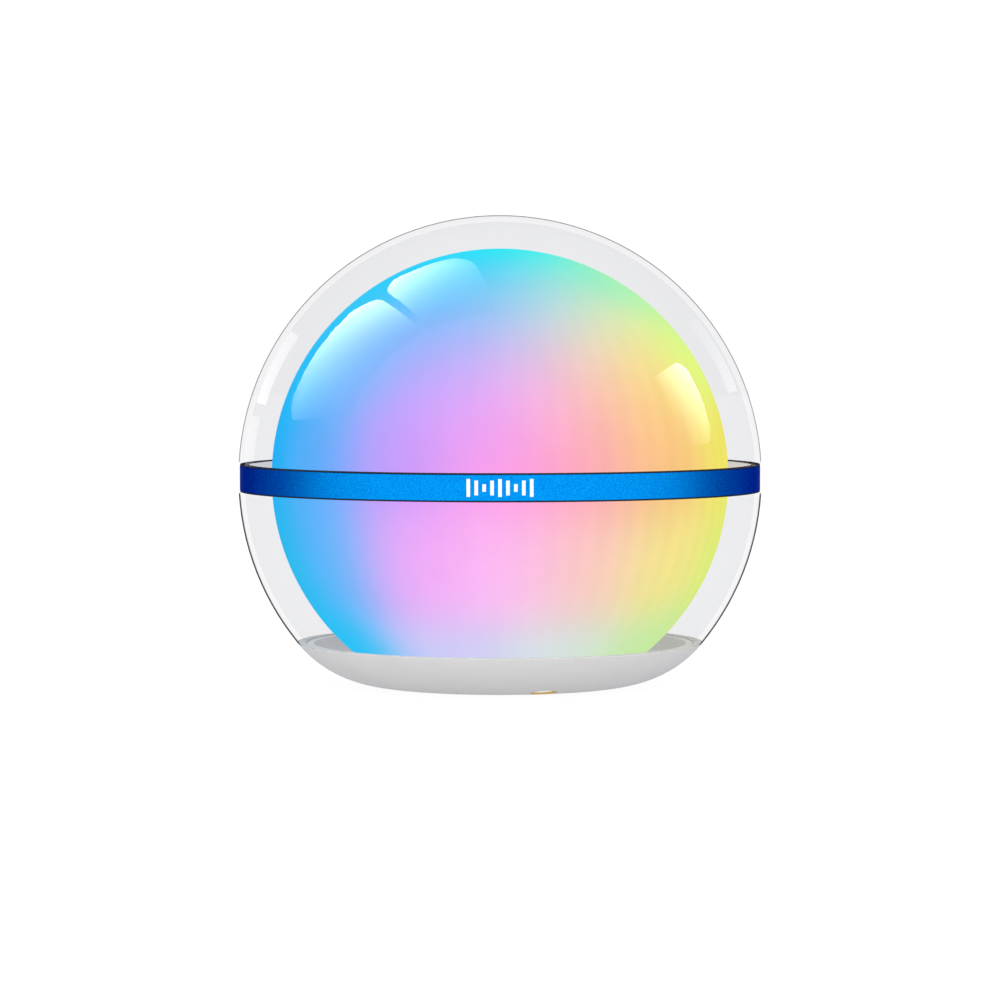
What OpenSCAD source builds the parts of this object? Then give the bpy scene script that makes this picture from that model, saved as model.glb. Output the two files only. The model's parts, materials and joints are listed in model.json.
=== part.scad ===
// Light-up smart speaker: a frosted lit globe inside a clear globe, on a white
// base that holds a down-firing driver, its electronics and a push button.
// Millimetres, +Z up, the front faces -Y, the origin is on the table under the centre.

/* [Clear globe] */
// Outer diameter of the clear globe
globe_d = 200; // [196:1:206]
// Wall of the clear globe
globe_wall = 2.5; // [2:0.1:2.8]
// Height of the globe's centre above the table
centre_z = 80; // [79.5:0.1:80.5]
// Height of the joint between the clear globe and the base
rim_z = 16.8; // [16.6:0.1:17.2]
// Radius that rounds the clear shells' edges beside the band
lip_round = 0.8; // [0.5:0.1:1]

/* [Band] */
// Height of the metal band round the equator
band_h = 9.6; // [8:0.2:12]
// Wall of the metal band
band_wall = 1.5; // [1.2:0.1:1.6]
// Thickness of the dark gasket above and below the band
gasket_t = 0.4; // [0.3:0.1:0.6]
// Number of bars in the sound mark on the band
mark_bars = 9; // [5:2:13]

/* [Diffuser globe] */
// Outer diameter of the frosted globe
diffuser_d = 174.6; // [170:0.2:178]
// Wall of the frosted globe
diffuser_wall = 2; // [1.6:0.1:2.4]
// Depth of the lap where its two halves meet
lap_h = 3; // [2:0.5:5]

/* [Base] */
// Radius of the base's flat underside
flat_r = 43.4; // [43:0.1:43.8]
// Radius of the curve from the underside up to the rim
arc_r = 44; // [43.8:0.1:44.2]
// Wall of the base
base_wall = 2.5; // [2.2:0.1:2.6]
// How far the rubber feet stand proud of the base
foot_proud = 0.6; // [0.4:0.1:0.8]
// Radius of the speaker opening in the underside
speaker_open_r = 31; // [28:0.5:31.5]
// Width of the two sound channels in the underside
channel_w = 26; // [16:1:30]

/* [Button and port] */
// Angle of the button round the base, from +X
button_az = -72.5; // [-80:0.5:-65]
// Tilt of the button from straight down
button_tilt = 13; // [12:0.5:14]
// Travel of the button
button_travel = 0.5; // [0.3:0.05:0.5]
// Angle of the microphone round the base, from +X
mic_az = -107.5; // [-115:0.5:-100]
// Height of the USB-C port's axis above the table
usb_z = 5.2; // [5.1:0.05:5.3]

/* [Light tower] */
// Across flats of the eight-sided LED tower
tower_af = 50; // [50:0.5:56]
// Height of the tower's top
tower_top_z = 118; // [112:1:126]
// LEDs up each face of the tower
leds_per_face = 9; // [5:1:9]

/* [Hidden] */
$fn = 96;

over = 1;           // how far a cutting shape passes a face
gap = 0.1;          // clearance between pieces that slide or slip together
big = 200;          // side of a half-space block

// Clear globe
globe_r = globe_d / 2;
globe_in_r = globe_r - globe_wall;
rim_drop = centre_z - rim_z;
rim_joint = 0.05;                       // glue line between the lower shell and the base
band_half = band_h / 2;
shell_edge = band_half + gasket_t;      // from the equator to a clear shell's edge
bead_h = 1.2;                           // thickened edge of a clear shell
bead_in_r = 96.2;
band_r = 99.4;
band_chamfer = 0.25;
ring_wall = 1.6;                        // of the coupling ring

// Sound mark
mark_w = 24;
mark_h = 6.4;
bar_w = 1.3;
mark_t = 0.15;

// Diffuser
diffuser_r = diffuser_d / 2;
diffuser_in_r = diffuser_r - diffuser_wall;

// Base, from the table up
under_z = foot_proud;                   // flat underside
arc_z = under_z + arc_r;                // centre of the base's curve
floor_z = 3.8;                          // top of the thick floor ring
floor_r = 44;
arc_in_r = arc_r - base_wall;
plate_z = 5.6;                          // top of the bottom plate
plate_r = 40.5;
deck_under_z = 9.5;
deck_z = 11.3;                          // top of the deck, where the globe stands
deck_wall = 1.8;
deck_open_r = 22.2;
deck_gap = 0.2;
channel_z = 2.2;                        // roof of the two sound channels
sound_hole_r = 0.6;                     // microphone's hole
cloth_z = 4.7;                          // grille cloth, laid in the bottom plate
cloth_t = 0.15;
slot_w = 1.4;                           // grille slot

// Base screws and feet
screw_r = 1.45;
screw_circle = 37;
screw_head_r = 2.75;
foot_r = 4.5;
foot_top_z = 1.4;
head_top_z = 2.6;
post_r = 3.4;
corner_az = [45, 135, 225, 315];
small_screw_r = 0.95;                   // tower and board screws
small_head_r = 1.9;

// Driver, facing down
flange_r = 23.5;
flange_z = 6.4;
flange_t = 1.2;
frame_in_r = 19.5;
frame_wall = 0.8;
lip_r = 20.6;                           // outer edge of the surround
driver_screw_circle = 21.6;
driver_screw_r = 0.7;
driver_hole_r = 0.75;
driver_head_r = 1.2;
roll_r = 17.4;                          // centre of the surround's roll
roll_out = 1.7;
roll_in = 1.3;
lip_t = 0.4;
former_in_r = 6.3;
former_r = 6.5;
coil_r = 6.85;
pole_r = 6;
gap_r = 7.2;                            // bore of the steel top plate
spider_z = 14.2;                        // mid-plane of the spider
spider_t = 0.3;
spider_from = 7.2;                      // where the spider's waves begin and end
spider_to = 10.8;
frame_top_z = 16.2;
steel_r = 13.5;
steel_t = 2.5;
magnet_t = 6;
magnet_r = 14.5;
magnet_in_r = 8.5;
magnet_z = frame_top_z + steel_t;
yoke_z = magnet_z + magnet_t;

// Tower and cells
tower_apothem = tower_af / 2;
tower_wall = 2;
tower_flange_r = 32;
tower_flange_t = 2;
led_pitch = 10;
led_side = 5;
led_t = 1.6;
strip_t = 0.4;
strip_w = 10;
led_first_z = 26;
crown_t = 1;                            // round board on top
tower_screw_circle = tower_flange_r - 3;
cell_r = 9.15;
cell_h = 65;
cell_x = 9.6;
cell_z = 34;
tray_t = 2;
cup_wall = 1;
cup_h = 8;
link_t = 0.3;

// Main board, a ring sector round the back
board_z = 5.6;
board_t = 1;
board_in_r = 41.5;
board_out_r = 56;
board_from = 22;
board_to = 158;
board_top = board_z + board_t;
board_screw_at = [[32, 48], [148, 48], [122, 53]];      // angle, radius

// USB-C receptacle
usb_w = 8.94;
usb_h = 3.2;
usb_mouth_y = 58.6;
usb_back_y = 51.3;
usb_skin = 0.3;
housing_back_y = 56.3;                  // thickened wall round the port
housing_w = 16.4;
housing_z = 3;
housing_top_z = 9.4;
pocket_y = 58.5;
pocket_w = 13;
pocket_top_z = 8.5;

// Button stack, as depths from the base's outer surface
bezel_face = 0.3;
bezel_depth = 1.2;
bezel_r = 5.15;
bezel_in_r = 4;
bezel_mouth_r = 4.9;
cap_face = 0.75;
cap_r = 3.85;
cap_flange_r = 4.5;
cap_flange = 2.95;
cap_back = 3.45;
switch_face = 4.1;
switch_back = 5.5;
switch_w = 6;
plunger_r = 1.2;
plunger_back = 4.6;
button_board_t = 0.8;
button_post_y = 6.3;
button_post_r = 1.4;
mic_face = 3.5;
mic_r = 3;
boot_r = 4.2;
lead_r = 0.5;
lead_z = 8.3;
lead_apart = 1.8;                       // between the two leads of a pair
lead_ring_r = 49;                       // circle that the front leads follow

// ---------------------------------------------------------------- helpers

// 2D box given by its two corners
module box2(from, to) {
    translate(from) square(to - from);
}

// Flat ring or tube from height z0 to z1
module tube(r_out, r_in, z0, z1) {
    translate([0, 0, z0]) difference() {
        cylinder(r = r_out, h = z1 - z0);
        translate([0, 0, -over]) cylinder(r = r_in, h = z1 - z0 + 2 * over);
    }
}

// Disc or rod from height z0 to z1
module rod(r, z0, z1) {
    translate([0, 0, z0]) cylinder(r = r, h = z1 - z0);
}

// Puts children at an angle and radius round the vertical axis
module at(az, r) {
    rotate([0, 0, az]) translate([r, 0, 0]) children();
}

// Block centred on the radius it is placed at, from z0 up
module chip(radial, across, tall, z0) {
    translate([-radial / 2, -across / 2, z0]) cube([radial, across, tall]);
}

// Stands children on the base's curve: local +Z runs inward along the normal,
// and local z 0 is the outer surface
module on_curve(az, tilt) {
    rotate([0, 0, az])
        translate([flat_r + arc_r * sin(tilt), 0, arc_z - arc_r * cos(tilt)])
            rotate([0, -tilt, 0]) children();
}

// 2D area inside the base's curve of the given radius, between two heights
module curve_area(r, z0, z1) {
    box2([0, z0], [flat_r, z1]);
    intersection() {
        translate([flat_r, arc_z]) circle(r = r);
        box2([flat_r, z0], [globe_r, z1]);
    }
}

// ---------------------------------------------------------------- clear globe

// 2D section of the upper clear shell, measured from the globe's centre
module shell_section() {
    edge_r = sqrt(pow(globe_r, 2) - pow(shell_edge, 2));
    difference() {
        union() {
            difference() {
                circle(r = globe_r, $fn = 240);
                circle(r = globe_in_r, $fn = 240);
            }
            box2([bead_in_r, shell_edge], [edge_r - lip_round, shell_edge + bead_h]);
        }
        box2([-big, -big], [big, shell_edge]);
        box2([-big, -big], [0, big]);
        difference() {
            box2([edge_r - lip_round, shell_edge - over], [globe_r + over, shell_edge + lip_round]);
            translate([edge_r - lip_round, shell_edge + lip_round]) circle(r = lip_round);
        }
    }
}

module upper_shell() {
    color([0.93, 0.94, 0.95, 0.3])
        translate([0, 0, centre_z]) rotate_extrude() shell_section();
}

// The same section turned over, and cut off where it is glued to the base's rim
module lower_shell() {
    color([0.93, 0.94, 0.95, 0.3])
        translate([0, 0, centre_z]) rotate_extrude() intersection() {
            mirror([0, 1]) shell_section();
            box2([0, rim_joint - rim_drop], [big, 0]);
        }
}

// ---------------------------------------------------------------- band

module band() {
    bottom = centre_z - band_half;
    top = centre_z + band_half;
    inner = band_r - band_wall;
    shoulder = band_r - band_chamfer;
    color([0.02, 0.35, 0.85]) rotate_extrude() polygon([
        [inner, bottom], [shoulder, bottom], [band_r, bottom + band_chamfer],
        [band_r, top - band_chamfer], [shoulder, top], [inner, top]
    ]);
}

// Height of one bar of the mark: two swells side by side
function bar_h(i) = mark_h * (0.42 + 0.58 * abs(sin(90 + 360 * i / (mark_bars - 1))));

// A row of upright bars printed on the front of the band
module sound_mark() {
    pitch = (mark_w - bar_w) / (mark_bars - 1);
    color("white") intersection() {
        tube(band_r + mark_t, band_r, centre_z - band_half, centre_z + band_half);
        for (i = [0 : mark_bars - 1])
            translate([-mark_w / 2 + i * pitch, -globe_r - over, centre_z - bar_h(i) / 2])
                cube([bar_w, globe_r, bar_h(i)]);
    }
}

module gasket(z0) {
    color([0.03, 0.03, 0.05]) tube(band_r - gap, bead_in_r, z0, z0 + gasket_t);
}

// White ring behind the band, which carries it and joins the two clear shells
module coupling_ring() {
    outer = bead_in_r + ring_wall;
    color([0.9, 0.9, 0.92]) tube(outer, bead_in_r, centre_z - band_half, centre_z + band_half);
}

// ---------------------------------------------------------------- diffuser globe

module diffuser_ring_section() {
    difference() {
        circle(r = diffuser_r, $fn = 240);
        circle(r = diffuser_in_r, $fn = 240);
    }
}

// Upper half, with a lap that slips inside the lower half
module diffuser_upper() {
    color([0.9, 0.6, 0.95]) translate([0, 0, centre_z]) rotate_extrude() {
        intersection() {
            diffuser_ring_section();
            box2([0, 0], [big, big]);
        }
        box2([diffuser_in_r + gap / 2, -lap_h], [diffuser_in_r + diffuser_wall / 2 - gap / 2, over]);
    }
}

module diffuser_lower() {
    color([0.9, 0.6, 0.95]) translate([0, 0, centre_z]) rotate_extrude() difference() {
        intersection() {
            diffuser_ring_section();
            box2([0, deck_z - centre_z], [big, 0]);
        }
        box2([0, -lap_h - gap], [diffuser_in_r + diffuser_wall / 2, over]);
    }
}

// ---------------------------------------------------------------- base

module base_shell() {
    color([0.87, 0.87, 0.87]) difference() {
        union() {
            rotate_extrude() difference() {
                curve_area(arc_r, under_z, rim_z);
                box2([-over, floor_z], [floor_r, big]);
                intersection() {
                    translate([flat_r, arc_z]) circle(r = arc_in_r);
                    box2([floor_r, 0], [globe_r, big]);
                }
                box2([-over, -over], [speaker_open_r, floor_z + over]);
            }
            usb_housing();
            for (p = board_screw_at) at(p[0], p[1]) rod(2.4, floor_z - 0.7, board_z);
            on_curve(button_az, button_tilt) button_posts();
        }
        for (az = corner_az) at(az, screw_circle) {
            rod(foot_r + gap, 0, foot_top_z);
            rod(screw_head_r + gap, 0, head_top_z);
            rod(screw_r + gap, 0, floor_z + over);
        }
        for (side = [0, 180]) rotate([0, 0, side])
            translate([speaker_open_r - over, -channel_w / 2, -over])
                cube([arc_r, channel_w, channel_z + over]);
        usb_cuts();
        for (p = board_screw_at) at(p[0], p[1]) rod(1, floor_z + 0.2, board_z + over);
        on_curve(button_az, button_tilt) button_hole();
        on_curve(mic_az, button_tilt) rod(sound_hole_r, -over, base_wall + over);
    }
}

// Thickened wall round the port, trimmed to the base's outer surface
module usb_housing() {
    intersection() {
        translate([-housing_w / 2, housing_back_y, housing_z])
            cube([housing_w, 12, housing_top_z - housing_z]);
        rotate_extrude() curve_area(arc_r, under_z, rim_z);
    }
}

// Slot for the receptacle, and the pocket that a plug's moulded body enters
module usb_cuts() {
    translate([-usb_w / 2 - gap, usb_back_y - over, usb_z - usb_h / 2 - gap])
        cube([usb_w + 2 * gap, 10, usb_h + 2 * gap]);
    translate([-pocket_w / 2, pocket_y, -over]) cube([pocket_w, 20, pocket_top_z + over]);
}

module button_hole() {
    rod(bezel_r + gap, -over, bezel_depth);
    rod(bezel_in_r, -over, base_wall + over);
    for (y = [-button_post_y, button_post_y])
        translate([0, y, 0]) rod(0.7, base_wall + 0.6, switch_back + over);
}

module button_posts() {
    for (y = [-button_post_y, button_post_y])
        translate([0, y, 0]) rod(button_post_r, base_wall - 0.6, switch_back);
}

// Inner tray: its floor carries the globe and tower, and its wall lines the base up to the rim
module deck() {
    out_r = arc_in_r - deck_gap;
    rib_r = 50.2;
    color([0.72, 0.72, 0.73]) difference() {
        union() {
            rotate_extrude() difference() {
                curve_area(out_r, deck_under_z, rim_z - deck_gap);
                difference() {
                    curve_area(out_r - deck_wall, deck_z, big);
                    box2([48.6, deck_z - over], [rib_r, deck_z + 2.7]);
                }
                box2([-over, 0], [deck_open_r, big]);
            }
            for (az = corner_az) at(az, screw_circle) rod(post_r, plate_z, deck_under_z + over);
        }
        for (az = corner_az) at(az, screw_circle) rod(screw_r + gap / 2, 0, deck_z - 0.7);
        for (az = corner_az) at(az + 45, tower_screw_circle) rod(1, deck_under_z - over, deck_z + over);
    }
}

// Disc behind the speaker opening, with a slotted grille in its middle
module bottom_plate() {
    color([0.78, 0.78, 0.79]) difference() {
        rod(plate_r, floor_z, plate_z);
        rod(frame_in_r, cloth_z, plate_z + over);
        grille_slots(12, 4, 9);
        grille_slots(24, 10.8, 17.6);
        for (az = corner_az) at(az, screw_circle) rod(screw_r + gap, 0, big);
        for (az = corner_az) at(az, driver_screw_circle) rod(driver_hole_r, floor_z + 0.5, plate_z + over);
    }
}

// Ring of radial slots from radius r0 to r1
module grille_slots(count, r0, r1) {
    for (i = [0 : count - 1]) rotate([0, 0, i * 360 / count])
        translate([r0, -slot_w / 2, floor_z - over]) cube([r1 - r0, slot_w, plate_z]);
}

module grille_cloth() {
    color([0.15, 0.15, 0.16]) rod(frame_in_r - gap, cloth_z, cloth_z + cloth_t);
}

module foot_pads() {
    color([0.35, 0.35, 0.36]) for (az = corner_az) at(az, screw_circle) rod(foot_r, 0, foot_top_z);
}

module base_screws() {
    color([0.6, 0.6, 0.62]) for (az = corner_az) at(az, screw_circle) {
        rod(screw_head_r, foot_top_z, head_top_z);
        rod(screw_r, head_top_z - 0.2, deck_z - 0.9);
    }
}

// ---------------------------------------------------------------- driver

// Foam ring under the flange, stepped to clamp the surround's edge
module driver_gasket() {
    step_z = flange_z - lip_t;
    color([0.1, 0.1, 0.1]) difference() {
        rotate_extrude() polygon([
            [frame_in_r, plate_z], [flange_r, plate_z], [flange_r, flange_z],
            [lip_r, flange_z], [lip_r, step_z], [frame_in_r, step_z]
        ]);
        for (az = corner_az) at(az, driver_screw_circle) rod(driver_hole_r, 0, big);
    }
}

// Pressed frame: a flange, a sloping wall with windows, and a ring that holds the magnet
module driver_basket() {
    ring_in_r = 11;
    color([0.25, 0.25, 0.27]) difference() {
        rotate_extrude() polygon([
            [frame_in_r, flange_z], [flange_r, flange_z], [flange_r, flange_z + flange_t],
            [frame_in_r + frame_wall, flange_z + flange_t], [15.4, 14.8], [15.4, frame_top_z],
            [ring_in_r, frame_top_z], [ring_in_r, spider_z + 0.2], [14.4, spider_z + 0.2],
            [frame_in_r, flange_z + flange_t]
        ]);
        for (az = [0 : 60 : 300]) rotate([0, 0, az + 30])
            translate([12, -4, 8.8]) cube([12, 8, 4.4]);
        for (az = corner_az) at(az, driver_screw_circle)
            rod(driver_hole_r, 0, flange_z + flange_t + over);
    }
}

module driver_top_plate() {
    color([0.7, 0.72, 0.74]) tube(steel_r, gap_r, frame_top_z, magnet_z);
}

module driver_magnet() {
    color([0.12, 0.12, 0.13]) tube(magnet_r, magnet_in_r, magnet_z, yoke_z);
}

// Back plate and centre pole, turned as one piece
module driver_pole() {
    color([0.7, 0.72, 0.74]) {
        rod(steel_r, yoke_z, yoke_z + steel_t);
        rod(pole_r, frame_top_z + 0.2, yoke_z + 0.5);
    }
}

// Rubber edge: an inverted half roll with a flat lip each side
module driver_surround() {
    color([0.08, 0.08, 0.08]) rotate_extrude() {
        difference() {
            translate([roll_r, flange_z]) circle(r = roll_out, $fn = 48);
            translate([roll_r, flange_z]) circle(r = roll_in, $fn = 48);
            box2([0, 0], [flange_r, flange_z - lip_t / 2]);
        }
        box2([roll_r + roll_in, flange_z - lip_t], [lip_r, flange_z]);
        box2([14.5, flange_z - lip_t], [roll_r - roll_in, flange_z]);
    }
}

// Height of the spider's mid-plane at a radius: a wave between its two flat edges
function spider_wave(r) = r < spider_from || r > spider_to ? 0 : 0.35 * sin((r - spider_from) * 300);

module spider_profile() {
    radii = concat([former_r + 0.05], [for (r = [spider_from : 0.15 : spider_to]) r], [13.3]);
    top = [for (r = radii) [r, spider_z + spider_t / 2 + spider_wave(r)]];
    under = [for (i = [len(radii) - 1 : -1 : 0])
        [radii[i], spider_z - spider_t / 2 + spider_wave(radii[i])]];
    polygon(concat(top, under));
}

module driver_spider() {
    color([0.75, 0.55, 0.2]) rotate_extrude() spider_profile();
}

module driver_cone() {
    color([0.1, 0.1, 0.11]) rotate_extrude() polygon([
        [former_r, 11.6], [former_r, 12.2], [15, 6.95], [15.5, 6.95], [15.5, flange_z], [14.8, flange_z]
    ]);
}

// Shallow dome that closes the middle of the cone
module dust_cap() {
    dome_r = 9;
    centre = 18;
    color([0.12, 0.12, 0.13]) rotate_extrude() intersection() {
        difference() {
            translate([0, centre]) circle(r = dome_r);
            translate([0, centre]) circle(r = dome_r - 0.4);
        }
        box2([0, 0], [former_in_r, 11.9]);
    }
}

module coil_former() {
    color([0.8, 0.7, 0.4]) tube(former_r, former_in_r, 11.3, 19.3);
}

module voice_coil() {
    color([0.72, 0.4, 0.15]) tube(coil_r, former_r, 15.9, 19.1);
}

module driver_screws() {
    color([0.3, 0.3, 0.32]) for (az = corner_az) at(az, driver_screw_circle) {
        rod(driver_head_r, flange_z + flange_t, flange_z + flange_t + 0.9);
        rod(driver_screw_r, floor_z + 0.9, flange_z + flange_t + 0.2);
    }
}

module terminal_strip() {
    color([0.8, 0.65, 0.3]) at(90, 21.75) chip(1.3, 6, 1.4, flange_z + flange_t);
}

// ---------------------------------------------------------------- leads

// Pair of leads along a radius from r0 out to r1
module lead_pair(az, r0, r1, z) {
    for (y = [-1, 1] * lead_apart / 2) rotate([0, 0, az]) translate([r0, y, z])
        rotate([0, 90, 0]) cylinder(r = lead_r, h = r1 - r0, $fn = 24);
}

// Pair that comes down inside the tower, turns, and runs out to the main board
module tower_lead_pair(az, top) {
    drop_r = 20.9;
    for (y = [-1, 1] * lead_apart / 2) rotate([0, 0, az]) translate([drop_r, y, 0]) {
        rod(lead_r, lead_z, top);
        translate([0, 0, lead_z]) sphere(r = lead_r, $fn = 24);
    }
    lead_pair(az, drop_r, 42, lead_z);
}

// Leads that follow a circle under the deck, from one angle to another
module ring_lead_pair(from, to) {
    rotate([0, 0, from]) rotate_extrude(angle = to - from)
        for (r = [lead_ring_r - 0.7, lead_ring_r + 0.7]) translate([r, lead_z]) circle(r = lead_r, $fn = 24);
}

module speaker_leads() {
    color([0.75, 0.1, 0.1]) lead_pair(90, 22.4, 42, lead_z);
}

module battery_leads() {
    color([0.7, 0.1, 0.1]) tower_lead_pair(110, 30);
}

module led_leads() {
    color([0.85, 0.85, 0.85]) tower_lead_pair(70, 30);
}

module button_leads() {
    color([0.2, 0.2, 0.2]) ring_lead_pair(-66.2, 23.2);
}

module mic_leads() {
    color([0.2, 0.2, 0.2]) ring_lead_pair(156.8, 246.2);
}

// ---------------------------------------------------------------- tower

// Solid eight-sided prism with the given distance from axis to face
module prism(apothem, z0, z1) {
    translate([0, 0, z0]) rotate([0, 0, 22.5])
        cylinder(r = apothem / cos(22.5), h = z1 - z0, $fn = 8);
}

module tower_core() {
    color([0.93, 0.93, 0.93]) difference() {
        union() {
            rod(tower_flange_r, deck_z, deck_z + tower_flange_t);
            prism(tower_apothem, deck_z, tower_top_z);
        }
        prism(tower_apothem - tower_wall, deck_z - over, tower_top_z - tower_wall);
        for (az = corner_az) at(az + 45, tower_screw_circle) rod(1.1, 0, 20);
        rod(1, tower_top_z - 3, tower_top_z + over);
    }
}

module tower_screws() {
    color([0.6, 0.6, 0.62]) {
        for (az = corner_az) at(az + 45, tower_screw_circle) {
            rod(small_head_r, deck_z + tower_flange_t, deck_z + tower_flange_t + 1.3);
            rod(small_screw_r, deck_under_z + 0.2, deck_z + tower_flange_t + 0.2);
        }
        rod(small_head_r, tower_top_z + crown_t, tower_top_z + crown_t + 1.2);
        rod(small_screw_r, tower_top_z - 1.8, tower_top_z + crown_t + 0.2);
    }
}

// Round board on top of the tower
module crown_board() {
    color([0.95, 0.95, 0.95]) tube(21, 1.1, tower_top_z, tower_top_z + crown_t);
}

module led_strips() {
    color([0.95, 0.95, 0.9]) for (face = [0 : 45 : 315]) rotate([0, 0, face])
        translate([tower_apothem, -strip_w / 2, led_first_z - 7])
            cube([strip_t, strip_w, (leds_per_face - 1) * led_pitch + 14]);
}

module led_chips() {
    color([1, 0.95, 0.6]) {
        for (face = [0 : 45 : 315], i = [0 : leds_per_face - 1]) rotate([0, 0, face])
            translate([tower_apothem + strip_t, -led_side / 2, led_first_z + i * led_pitch - led_side / 2])
                cube([led_t, led_side, led_side]);
        for (face = [0 : 45 : 315]) at(face, 15) chip(led_side, led_side, led_t, tower_top_z + crown_t);
    }
}

module battery_cells() {
    color([0.1, 0.45, 0.25]) for (x = [-cell_x, cell_x]) translate([x, 0, 0]) {
        rod(cell_r, cell_z, cell_z + cell_h);
    }
}

// Eight-sided plate with two cups that grip the cells' ends
module cell_holder(plate_from, cup_from) {
    difference() {
        union() {
            prism(tower_apothem - tower_wall - 0.2, plate_from, plate_from + tray_t);
            for (x = [-cell_x, cell_x]) translate([x, 0, 0])
                rod(cell_r + gap + cup_wall, cup_from, cup_from + cup_h);
        }
        for (x = [-cell_x, cell_x]) translate([x, 0, 0])
            rod(cell_r + gap, cell_z - link_t, cell_z + cell_h + link_t);
        translate([0, 21.4, 0]) rod(3, plate_from - over, plate_from + tray_t + over);
    }
}

module battery_tray() {
    color([0.2, 0.2, 0.22]) cell_holder(cell_z - link_t - tray_t, cell_z - link_t - 0.5);
}

module battery_cap() {
    color([0.2, 0.2, 0.22])
        cell_holder(cell_z + cell_h + link_t, cell_z + cell_h + link_t + 0.5 - cup_h);
}

// Welded strips that join the two cells at both ends
module cell_links() {
    color([0.8, 0.8, 0.8]) for (z = [cell_z - link_t, cell_z + cell_h], x = [-cell_x, cell_x])
        translate([x, 0, 0]) rod(4, z, z + link_t);
}

// ---------------------------------------------------------------- electronics

module main_board() {
    color([0.05, 0.3, 0.15]) difference() {
        rotate([0, 0, board_from]) rotate_extrude(angle = board_to - board_from)
            box2([board_in_r, board_z], [board_out_r, board_top]);
        translate([-usb_w / 2 - gap, usb_back_y - gap, 0]) cube([usb_w + 2 * gap, 20, 20]);
        for (p = board_screw_at) at(p[0], p[1]) rod(1.1, 0, 20);
    }
}

module board_screws() {
    color([0.6, 0.6, 0.62]) for (p = board_screw_at) at(p[0], p[1]) {
        rod(small_head_r, board_top, board_top + 1.1);
        rod(small_screw_r, floor_z + 0.4, board_top + 0.2);
    }
}

module control_chips() {
    color([0.08, 0.08, 0.09]) {
        at(133, 48) chip(8, 8, 1, board_top);
        at(60, 50.5) chip(6, 6, 0.9, board_top);
        at(105, 51) chip(4, 5, 0.8, board_top);
    }
}

module rf_shield() {
    color([0.8, 0.81, 0.82]) at(45, 49) chip(10, 11, 2, board_top);
}

module inductors() {
    color([0.2, 0.2, 0.2]) for (az = [75, 114]) at(az, 51.5) chip(4, 4, 2.2, board_top);
}

// Sockets that the leads plug into
module lead_sockets() {
    color([0.95, 0.94, 0.88]) {
        for (az = [70, 90, 110]) at(az, 43.75) chip(3.5, 5.4, 2.5, board_top);
        for (az = [26.5, 153.5]) at(az, 49) chip(4, 5.2, 2.5, board_top);
        for (az = [button_az, mic_az]) on_curve(az, button_tilt)
            translate([-2.35, az == button_az ? 4 : -4, 0]) chip(2.7, 2.6, 1.5, switch_back + button_board_t);
    }
}

module usb_shell() {
    translate([0, usb_back_y, usb_z - usb_h / 2]) color([0.75, 0.76, 0.78]) difference() {
        usb_slot_shape(usb_w, usb_h, 0, usb_mouth_y - usb_back_y);
        usb_slot_shape(usb_w - 2 * usb_skin, usb_h - 2 * usb_skin, usb_skin, 20);
    }
}

// Slot with round ends, running along +Y from the given start
module usb_slot_shape(w, h, start, length) {
    translate([0, start, usb_h / 2]) rotate([-90, 0, 0]) {
        for (x = [-1, 1]) translate([x * (w - h) / 2, 0, 0]) cylinder(r = h / 2, h = length, $fn = 32);
        translate([-(w - h) / 2, -h / 2, 0]) cube([w - h, h, length]);
    }
}

module usb_tongue() {
    color([0.1, 0.1, 0.1]) translate([-3.3, usb_back_y + usb_skin, usb_z - 0.35])
        cube([6.6, 5.6, 0.7]);
}

// ---------------------------------------------------------------- button and microphone

module button_cap() {
    color("white") on_curve(button_az, button_tilt) {
        rod(cap_r, cap_face, cap_back);
        rod(cap_flange_r, cap_flange, cap_back);
    }
}

module button_plunger() {
    color([0.1, 0.1, 0.1]) on_curve(button_az, button_tilt) rod(plunger_r, cap_back, plunger_back);
}

// Gold ring let into the base, with a cone that leads down to the cap
module button_bezel() {
    depth = bezel_depth - bezel_face;
    color([0.8, 0.6, 0.2]) on_curve(button_az, button_tilt) difference() {
        rod(bezel_r, bezel_face, bezel_depth);
        translate([0, 0, bezel_face]) cylinder(r1 = bezel_mouth_r, r2 = bezel_in_r, h = depth);
        rod(bezel_in_r, 0, bezel_depth + over);
    }
}

module button_switch() {
    color([0.15, 0.15, 0.16]) on_curve(button_az, button_tilt) difference() {
        translate([-switch_w / 2, -switch_w / 2, switch_face])
            cube([switch_w, switch_w, switch_back - switch_face]);
        rod(plunger_r + gap, 0, plunger_back + button_travel + 0.1);
    }
}

// Boards behind the button and behind the microphone
module small_board(with_holes) {
    difference() {
        translate([-4, -8, switch_back]) cube([8, 16, button_board_t]);
        if (with_holes) for (y = [-button_post_y, button_post_y])
            translate([0, y, 0]) rod(0.8, 0, 20);
    }
}

module button_board() {
    color([0.05, 0.3, 0.15]) {
        on_curve(button_az, button_tilt) small_board(true);
        on_curve(mic_az, button_tilt) small_board(false);
    }
}

module button_screws() {
    board_back = switch_back + button_board_t;
    color([0.6, 0.6, 0.62]) on_curve(button_az, button_tilt)
        for (y = [-button_post_y, button_post_y]) translate([0, y, 0]) {
            rod(1.25, board_back, board_back + 0.8);
            rod(0.65, 3.6, board_back + 0.2);
        }
}

module microphone() {
    color([0.75, 0.75, 0.76]) on_curve(mic_az, button_tilt) rod(mic_r, mic_face, switch_back);
}

// Rubber cup that seals the microphone to its hole
module mic_boot() {
    color([0.08, 0.08, 0.08]) on_curve(mic_az, button_tilt) difference() {
        rod(boot_r, base_wall + 0.4, switch_back);
        rod(mic_r, mic_face, switch_back + over);
        rod(sound_hole_r, 0, mic_face + over);
    }
}

// ---------------------------------------------------------------- the part

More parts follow.
